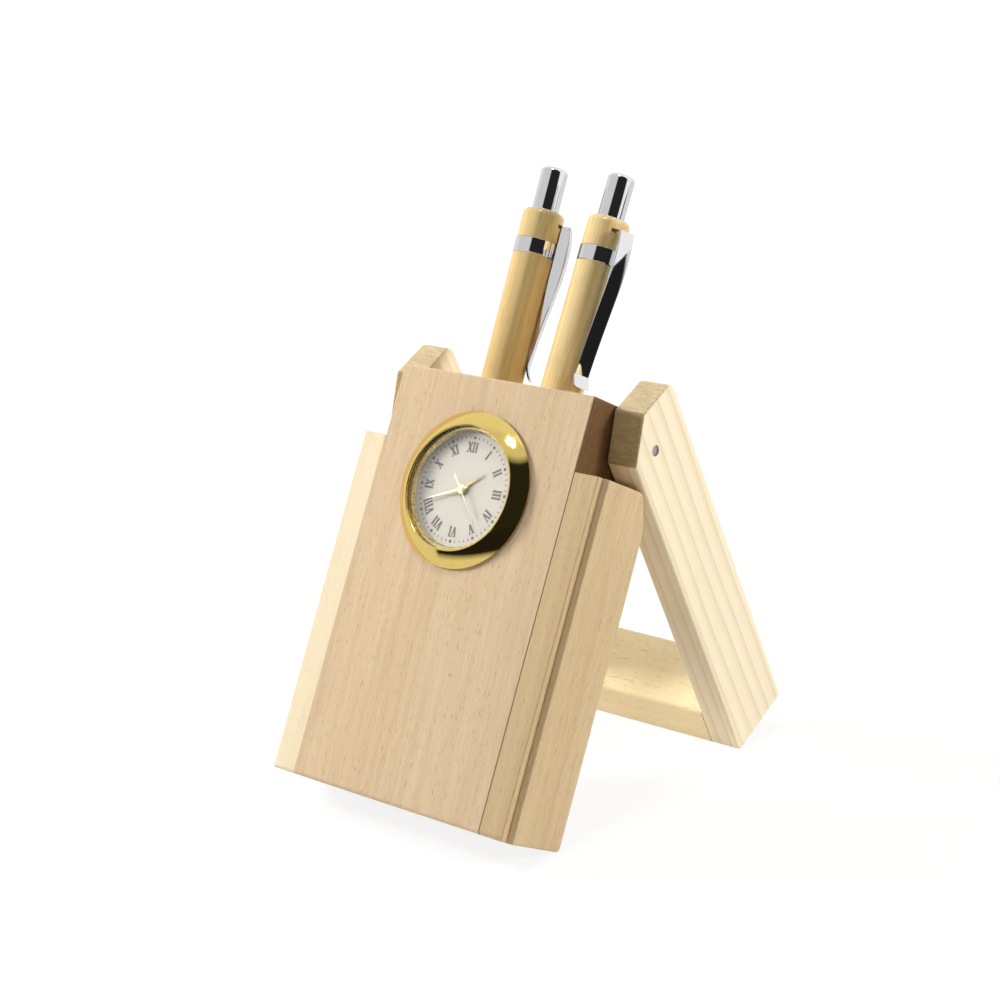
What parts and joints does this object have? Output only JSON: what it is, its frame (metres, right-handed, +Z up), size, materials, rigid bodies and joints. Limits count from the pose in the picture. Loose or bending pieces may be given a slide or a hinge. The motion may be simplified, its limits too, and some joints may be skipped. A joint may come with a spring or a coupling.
{
  "type": "folding desk pen holder with clock",
  "caption": "Folding wooden desk stand: a leaning board with a round inset quartz clock and bores for click ball pens along its top, propped by a hinged U-shaped frame.",
  "frame": {"origin": "on the table, under the middle of the standing part's bounding box", "axes": "+Z up, -Y towards the viewer of the clock, +X to the viewer's right along the hinge pins"},
  "size_m": [0.0808, 0.117, 0.1552],
  "materials": {
    "beech": "sanded, thin clear varnish",
    "pale_beech": "sanded, thin clear varnish",
    "bamboo": "gloss varnish",
    "gold": "polished gold plate",
    "chrome": "polished",
    "steel": "satin",
    "brass": "satin",
    "copper": "enamelled winding",
    "dial_paper": "matt printed card",
    "clear_lens": "clear",
    "rubber": "matt",
    "black_plastic": "fine texture",
    "white_plastic": "moulded",
    "green_board": "lacquered circuit board",
    "ink_tube": "smooth"
  },
  "bodies": {
    "board": {"body_board": "beech", "cheek_left": "beech", "cheek_right": "beech", "hinge_pin_left": "steel", "hinge_pin_right": "steel"},
    "frame": {"leg_left": "pale_beech", "leg_right": "pale_beech", "crossbar": "pale_beech"},
    "clock": {"clock_bezel": "gold", "clock_lens": "clear_lens", "clock_case": "black_plastic", "clock_gasket": "rubber", "clock_dial": "dial_paper", "dial_ring": "gold", "main_plate": "white_plastic", "motor_stator": "steel", "motor_coil": "copper", "circuit_board": "green_board", "quartz_crystal": "steel", "back_bridge": "white_plastic", "battery_cell": "steel", "battery_hatch": "black_plastic"},
    "seconds": {"second_hand": "gold", "second_wheel": "brass"},
    "minutes": {"minute_hand": "gold", "centre_wheel": "brass"},
    "hours": {"hour_hand": "gold", "hour_wheel": "brass"},
    "setting": {"minute_wheel": "brass", "setting_knob": "black_plastic"},
    "third": {"third_wheel": "brass"},
    "rotor": {"rotor": "steel"},
    "pen_left": {"pen_nose_left": "steel", "pen_barrel_left": "bamboo", "pen_band_left": "chrome", "pen_cap_left": "bamboo", "pen_spring_left": "steel"},
    "pen_right": {"pen_nose_right": "steel", "pen_barrel_right": "bamboo", "pen_band_right": "chrome", "pen_cap_right": "bamboo", "pen_spring_right": "steel"},
    "plunger_left": {"pen_plunger_left": "chrome", "pen_cam_left": "white_plastic", "pen_refill_left": "ink_tube"},
    "plunger_right": {"pen_plunger_right": "chrome", "pen_cam_right": "white_plastic", "pen_refill_right": "ink_tube"},
    "clip_left": {"pen_clip_left": "chrome"},
    "clip_right": {"pen_clip_right": "chrome"}
  },
  "joints": [
    {"name": "frame_fold", "type": "hinge", "parent": "board", "child": "frame", "pos_m": [0, 0.0019, 0.09239], "axis": [-1, 0, 0], "range_deg": [-109, 0]},
    {"name": "clock_pull", "type": "slide", "parent": "board", "child": "clock", "axis": [0, -0.8944, 0.4472], "range_m": [0, 0.01]},
    {"name": "second_spin", "type": "hinge", "parent": "clock", "child": "seconds", "pos_m": [-0.0007, -0.02279, 0.08148], "axis": [0, 0.8944, -0.4472], "continuous": true},
    {"name": "minute_spin", "type": "hinge", "parent": "clock", "child": "minutes", "pos_m": [-0.0007, -0.02279, 0.08148], "axis": [0, 0.8944, -0.4472], "continuous": true},
    {"name": "hour_spin", "type": "hinge", "parent": "clock", "child": "hours", "pos_m": [-0.0007, -0.02279, 0.08148], "axis": [0, 0.8944, -0.4472], "continuous": true},
    {"name": "setting_spin", "type": "hinge", "parent": "clock", "child": "setting", "pos_m": [0.00395, -0.02355, 0.07997], "axis": [0, 0.8944, -0.4472], "continuous": true},
    {"name": "third_spin", "type": "hinge", "parent": "clock", "child": "third", "pos_m": [-0.00415, -0.02108, 0.0849], "axis": [0, 0.8944, -0.4472], "continuous": true},
    {"name": "rotor_spin", "type": "hinge", "parent": "clock", "child": "rotor", "pos_m": [0.00229, -0.02108, 0.0849], "axis": [0, 0.8944, -0.4472], "continuous": true},
    {"name": "pen_left_lift", "type": "slide", "parent": "board", "child": "pen_left", "axis": [-0.0175, 0.4472, 0.8943], "range_m": [0, 0.08]},
    {"name": "pen_right_lift", "type": "slide", "parent": "board", "child": "pen_right", "axis": [0.0175, 0.4472, 0.8943], "range_m": [0, 0.08]},
    {"name": "plunger_left_click", "type": "slide", "parent": "pen_left", "child": "plunger_left", "axis": [0.0175, -0.4472, -0.8943], "range_m": [0, 0.005], "stiffness_N_per_m": 300, "springref_m": -0.004},
    {"name": "plunger_right_click", "type": "slide", "parent": "pen_right", "child": "plunger_right", "axis": [-0.0175, -0.4472, -0.8943], "range_m": [0, 0.005], "stiffness_N_per_m": 300, "springref_m": -0.004},
    {"name": "clip_left_flex", "type": "hinge", "parent": "pen_left", "child": "clip_left", "pos_m": [-0.00576, 0.02508, 0.13951], "axis": [0.4847, -0.7785, 0.3987], "range_deg": [0, 5], "stiffness_Nm_per_rad": 0.5, "springref_deg": -2.86},
    {"name": "clip_right_flex", "type": "hinge", "parent": "pen_right", "child": "clip_right", "pos_m": [0.01593, 0.02151, 0.1411], "axis": [-0.2249, -0.8697, 0.4393], "range_deg": [0, 5], "stiffness_Nm_per_rad": 0.5, "springref_deg": -2.86}
  ],
  "couplings": [
    {"joint": "minute_spin", "follows": "second_spin", "ratio": 0.016667},
    {"joint": "hour_spin", "follows": "second_spin", "ratio": 0.0013889},
    {"joint": "setting_spin", "follows": "second_spin", "ratio": -0.0055556},
    {"joint": "third_spin", "follows": "second_spin", "ratio": -0.125},
    {"joint": "rotor_spin", "follows": "second_spin", "ratio": -30}
  ]
}
